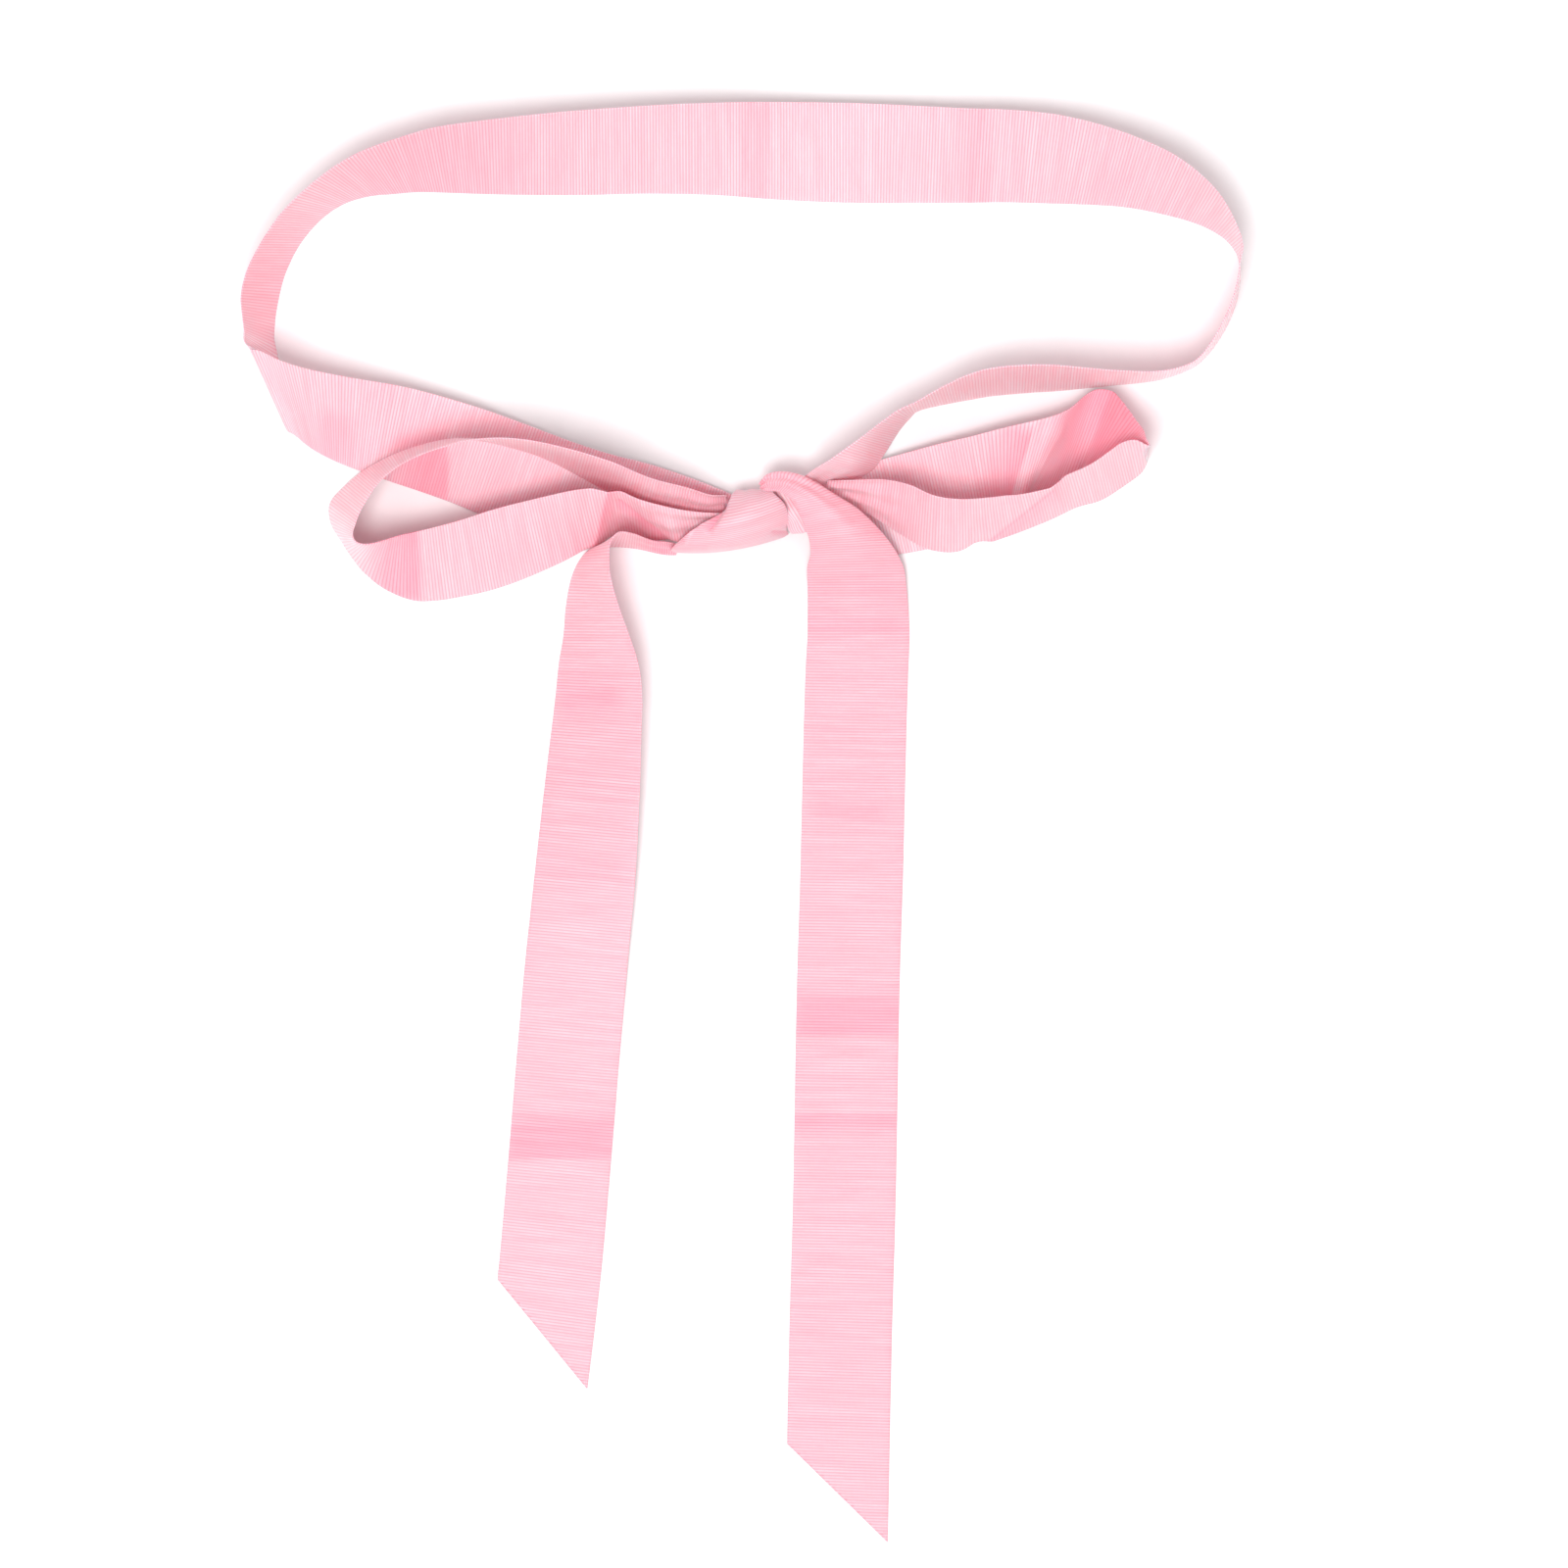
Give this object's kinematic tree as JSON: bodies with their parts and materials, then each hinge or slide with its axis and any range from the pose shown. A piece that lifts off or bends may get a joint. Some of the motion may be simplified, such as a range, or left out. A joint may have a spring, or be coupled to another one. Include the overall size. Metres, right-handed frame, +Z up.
{
  "type": "satin sash",
  "caption": "Ribbon sash tied into an open waist loop with a bow, a small knot and long slant-cut tails, laid flat on its edges.",
  "frame": {"origin": "middle of the whole sash's box, on the table it lies on", "axes": "+Z up from the table, +Y from the tails' cut ends towards the far side of the waist loop, +X to the right for someone who stands at the tails' ends and looks at the knot"},
  "size_m": [0.3694, 0.5336, 0.0482],
  "materials": {
    "ribbon": "matte satin grosgrain with fine ribs across the ribbon and a woven selvedge",
    "knot_inside": "the same ribbon, in the shade inside the knot"
  },
  "bodies": {
    "root": {"waist_right": "ribbon", "waist_back": "ribbon", "waist_left": "ribbon", "bow_left_back": "ribbon", "bow_left_front": "ribbon", "bow_right_back": "ribbon", "bow_right_front": "ribbon", "knot_wrap": "ribbon", "knot_tuck": "ribbon", "knot_core": "knot_inside", "tail_left": "ribbon", "tail_right": "ribbon"}
  },
  "joints": []
}
